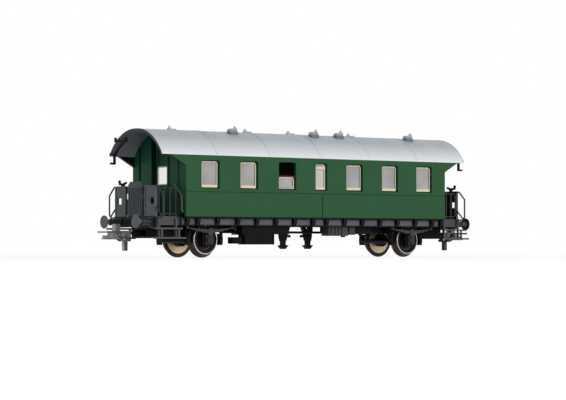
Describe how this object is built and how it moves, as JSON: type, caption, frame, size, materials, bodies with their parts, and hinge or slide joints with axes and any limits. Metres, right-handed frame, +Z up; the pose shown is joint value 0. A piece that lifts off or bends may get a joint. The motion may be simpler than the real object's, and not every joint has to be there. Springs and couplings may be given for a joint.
{
  "type": "model passenger coach",
  "caption": "Scale model of a railway passenger coach with arched roof, open end platforms, turning wheelsets and swinging loop couplings for small-gauge track.",
  "frame": {"origin": "centre of the coach at the lowest point of the wheel flanges", "axes": "+X along the coach to the right as pictured, -Y the side facing the camera, +Z up"},
  "size_m": [0.1744, 0.035, 0.0486],
  "materials": {
    "body_green": "satin",
    "roof_silver": "satin",
    "window_cream": "satin",
    "glazing": "clear",
    "seat_brown": "matte",
    "steel": "turned",
    "tyre_bright": "polished tread",
    "wheel_centre_black": "satin",
    "bearing_brass": "turned",
    "railing_grey": "matte",
    "solebar_grey": "matte",
    "coupler_grey": "satin",
    "underframe_black": "matte"
  },
  "bodies": {
    "coach": {"body_shell": "body_green", "roof": "roof_silver", "roof_vents": "roof_silver", "lamp_brackets": "railing_grey", "window_frames_near": "window_cream", "window_frames_far": "window_cream", "glazing_near": "glazing", "glazing_far": "glazing", "end_doors": "body_green", "door_window_frames": "window_cream", "door_panes": "glazing", "seat_insert": "seat_brown", "ballast_plate": "steel", "floor_pan": "underframe_black", "solebar_near": "solebar_grey", "solebar_far": "solebar_grey", "headstocks": "underframe_black", "platform_left": "underframe_black", "platform_right": "underframe_black", "inner_sills": "underframe_black", "end_railing_left": "railing_grey", "end_railing_right": "railing_grey", "gangway_plates": "railing_grey", "side_gates": "railing_grey", "corner_handrails": "railing_grey", "entrance_handrails": "railing_grey", "brake_columns": "railing_grey", "brake_cranks": "railing_grey", "steps_left": "underframe_black", "steps_right": "underframe_black", "buffer_housings": "underframe_black", "buffer_heads": "underframe_black", "axle_guards_left": "underframe_black", "axle_guards_right": "underframe_black", "leaf_springs": "underframe_black", "axleboxes": "underframe_black", "axle_bearings": "bearing_brass", "brake_gear_left": "underframe_black", "brake_gear_right": "underframe_black", "underfloor_boxes": "underframe_black", "equipment_boxes": "solebar_grey", "brake_rod": "underframe_black", "hanger_posts": "underframe_black", "coupler_guide_left": "underframe_black", "coupler_guide_right": "underframe_black", "frame_screws": "steel"},
    "wheelset_left": {"axle_left": "steel", "wheels_left": "tyre_bright", "wheel_centres_left": "wheel_centre_black"},
    "wheelset_right": {"axle_right": "steel", "wheels_right": "tyre_bright", "wheel_centres_right": "wheel_centre_black"},
    "coupler_left": {"drawbar_left": "underframe_black", "coupler_head_left": "coupler_grey", "loop_pin_left": "steel"},
    "coupler_right": {"drawbar_right": "underframe_black", "coupler_head_right": "coupler_grey", "loop_pin_right": "steel"},
    "loop_left": {"coupler_loop_left": "coupler_grey"},
    "loop_right": {"coupler_loop_right": "coupler_grey"}
  },
  "joints": [
    {"name": "wheelset_left_spin", "type": "hinge", "parent": "coach", "child": "wheelset_left", "pos_m": [-0.04885, 0, 0.0065], "axis": [0, 1, 0], "continuous": true},
    {"name": "wheelset_right_spin", "type": "hinge", "parent": "coach", "child": "wheelset_right", "pos_m": [0.04885, 0, 0.0065], "axis": [0, 1, 0], "continuous": true},
    {"name": "coupler_left_swing", "type": "hinge", "parent": "coach", "child": "coupler_left", "pos_m": [-0.06, 0, 0.009], "axis": [0, 0, 1], "range_deg": [-10, 10]},
    {"name": "coupler_right_swing", "type": "hinge", "parent": "coach", "child": "coupler_right", "pos_m": [0.06, 0, 0.009], "axis": [0, 0, 1], "range_deg": [-10, 10]},
    {"name": "loop_left_lift", "type": "hinge", "parent": "coupler_left", "child": "loop_left", "pos_m": [-0.0806, 0, 0.0083], "axis": [0, 1, 0], "range_deg": [0, 15]},
    {"name": "loop_right_lift", "type": "hinge", "parent": "coupler_right", "child": "loop_right", "pos_m": [0.0806, 0, 0.0083], "axis": [0, -1, 0], "range_deg": [0, 15]}
  ]
}
